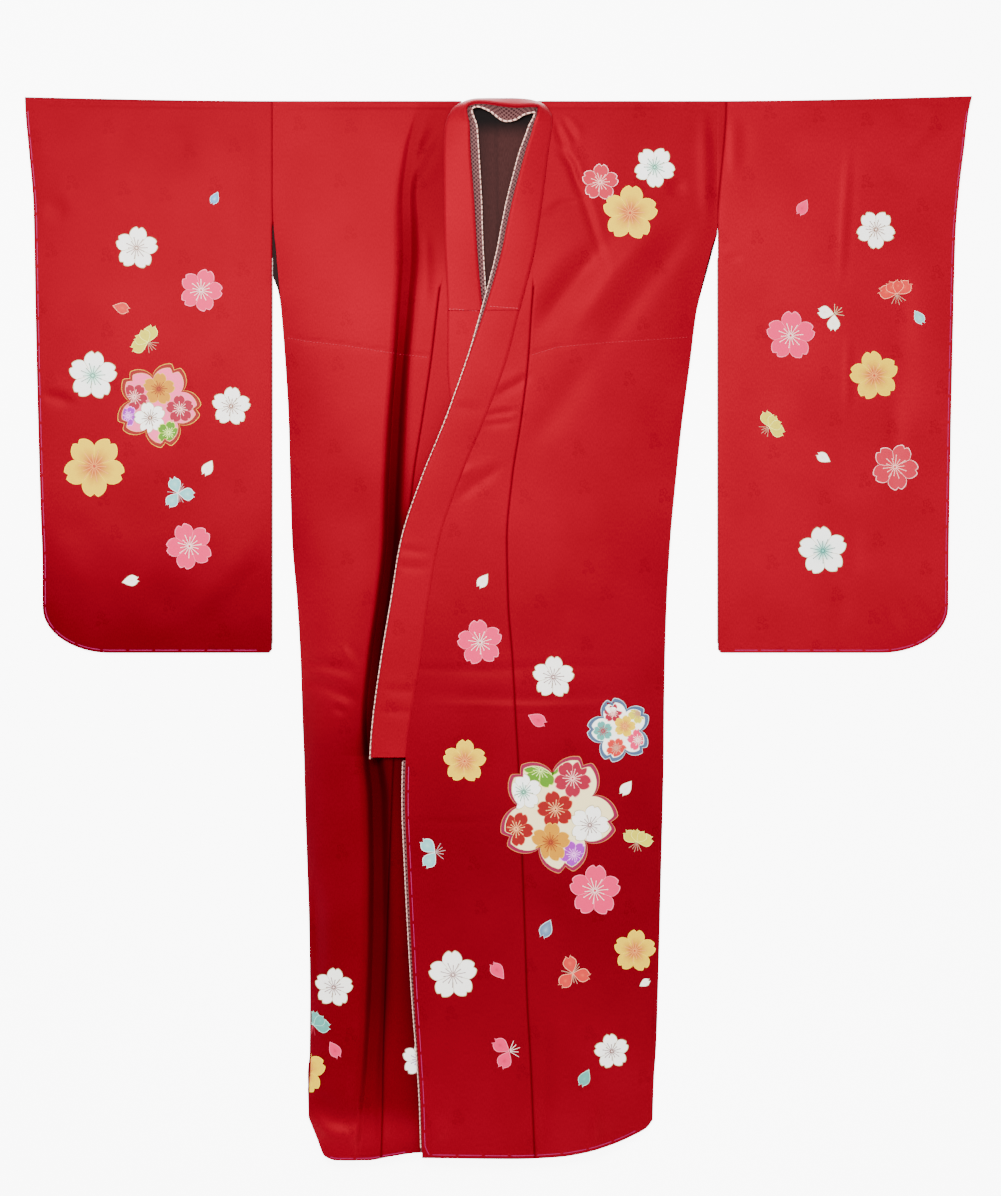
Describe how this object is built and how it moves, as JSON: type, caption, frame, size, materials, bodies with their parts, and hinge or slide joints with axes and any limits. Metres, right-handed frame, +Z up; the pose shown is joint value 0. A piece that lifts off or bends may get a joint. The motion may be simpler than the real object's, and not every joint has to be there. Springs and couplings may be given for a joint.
{
  "type": "child kimono laid flat",
  "caption": "Child's lined silk kimono with long sleeves, laid flat with its front up and the left front over the right.",
  "frame": {"origin": "under the middle of the garment's outline, on the surface that it lies on", "axes": "+X to the wearer's left, +Y from the hem to the shoulders, +Z up from the surface"},
  "size_m": [1.2334, 1.3844, 0.0252],
  "materials": {
    "red_silk": "satin",
    "brown_lining": "matte",
    "checked_lining": "matte"
  },
  "bodies": {
    "root": {"body_right": "red_silk", "body_left": "red_silk", "overlap_right": "red_silk", "overlap_left": "red_silk", "sleeve_right": "red_silk", "sleeve_left": "red_silk", "collar": "red_silk", "over_collar": "red_silk", "collar_lining": "checked_lining", "back_lining": "brown_lining", "edge_lining": "checked_lining"}
  },
  "joints": []
}
